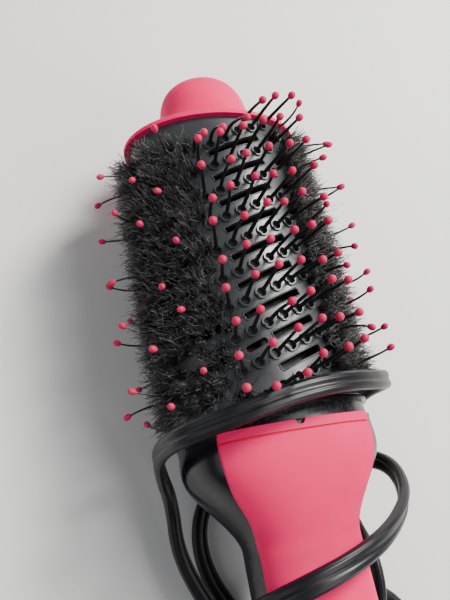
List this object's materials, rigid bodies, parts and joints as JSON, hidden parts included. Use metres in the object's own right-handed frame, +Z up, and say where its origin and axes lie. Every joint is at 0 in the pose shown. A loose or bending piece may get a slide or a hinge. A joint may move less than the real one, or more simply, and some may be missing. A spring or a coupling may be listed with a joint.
{
  "type": "hot air brush",
  "caption": "Hot air styling brush with an oval vented barrel, ball-tipped pins, bristle tufts, a cool tip, a panelled fan handle with a rotary dial, and a mains cord wound round its neck.",
  "frame": {"origin": "on the resting surface, under the middle of the brush without its free cord, coil and plug", "axes": "X across the brush, Y along it towards the cool tip, Z up out of the front panel"},
  "size_m": [0.1364, 0.394, 0.0818],
  "materials": {
    "pink_plastic": "satin moulded pink plastic",
    "pink_tip": "dipped pink ball tips",
    "barrel_plastic": "semi-gloss grey-black plastic",
    "gloss_black": "gloss black plastic",
    "matte_black": "fine textured black plastic",
    "pin_nylon": "black nylon pins",
    "bristle": "dark nylon bristle",
    "steel": "plain steel",
    "mica": "mica board",
    "board": "circuit board",
    "cord_rubber": "satin black cord jacket",
    "pin_metal": "nickelled brass"
  },
  "bodies": {
    "root": {"tip_cap": "pink_plastic", "front_panel": "pink_plastic", "front_pin_tips": "pink_tip", "rear_pin_tips": "pink_tip", "left_side_pin_tips": "pink_tip", "right_side_pin_tips": "pink_tip", "barrel_front_shell": "barrel_plastic", "barrel_rear_shell": "barrel_plastic", "barrel_base_ring": "gloss_black", "collar": "gloss_black", "handle_front_shell": "gloss_black", "handle_rear_shell": "gloss_black", "barrel_end_plate": "matte_black", "dial_hub": "matte_black", "inlet_grille": "matte_black", "fan_housing": "matte_black", "motor_mount_ring": "matte_black", "selector_switch": "matte_black", "front_pins": "pin_nylon", "rear_pins": "pin_nylon", "left_side_pins": "pin_nylon", "right_side_pins": "pin_nylon", "left_bristle_tufts": "bristle", "right_bristle_tufts": "bristle", "air_duct": "matte_black", "motor": "steel", "thermostat": "steel", "thermal_fuse": "steel", "heating_coils": "steel", "inlet_filter": "steel", "tip_cap_screws": "steel", "handle_screws": "steel", "heater_mica_frame": "mica", "circuit_board": "board", "power_leads": "cord_rubber", "cord_tube": "cord_rubber", "cord_coil": "cord_rubber", "coil_tie": "cord_rubber", "plug_body": "cord_rubber", "plug_pins": "pin_metal"},
    "rotor": {"motor_shaft": "steel", "fan_impeller": "matte_black"},
    "dial": {"control_dial": "gloss_black"},
    "swivel": {"cord_swivel": "matte_black", "strain_relief": "cord_rubber"}
  },
  "joints": [
    {"name": "fan_spin", "type": "hinge", "parent": "root", "child": "rotor", "pos_m": [0, 0, 0.041], "axis": [0, 1, 0], "continuous": true},
    {"name": "dial_turn", "type": "hinge", "parent": "root", "child": "dial", "pos_m": [0, -0.113, 0.041], "axis": [0, 1, 0], "range_deg": [0, 90]},
    {"name": "cord_swivel_turn", "type": "hinge", "parent": "root", "child": "swivel", "pos_m": [0, -0.134, 0.041], "axis": [0, 1, 0], "continuous": true}
  ]
}
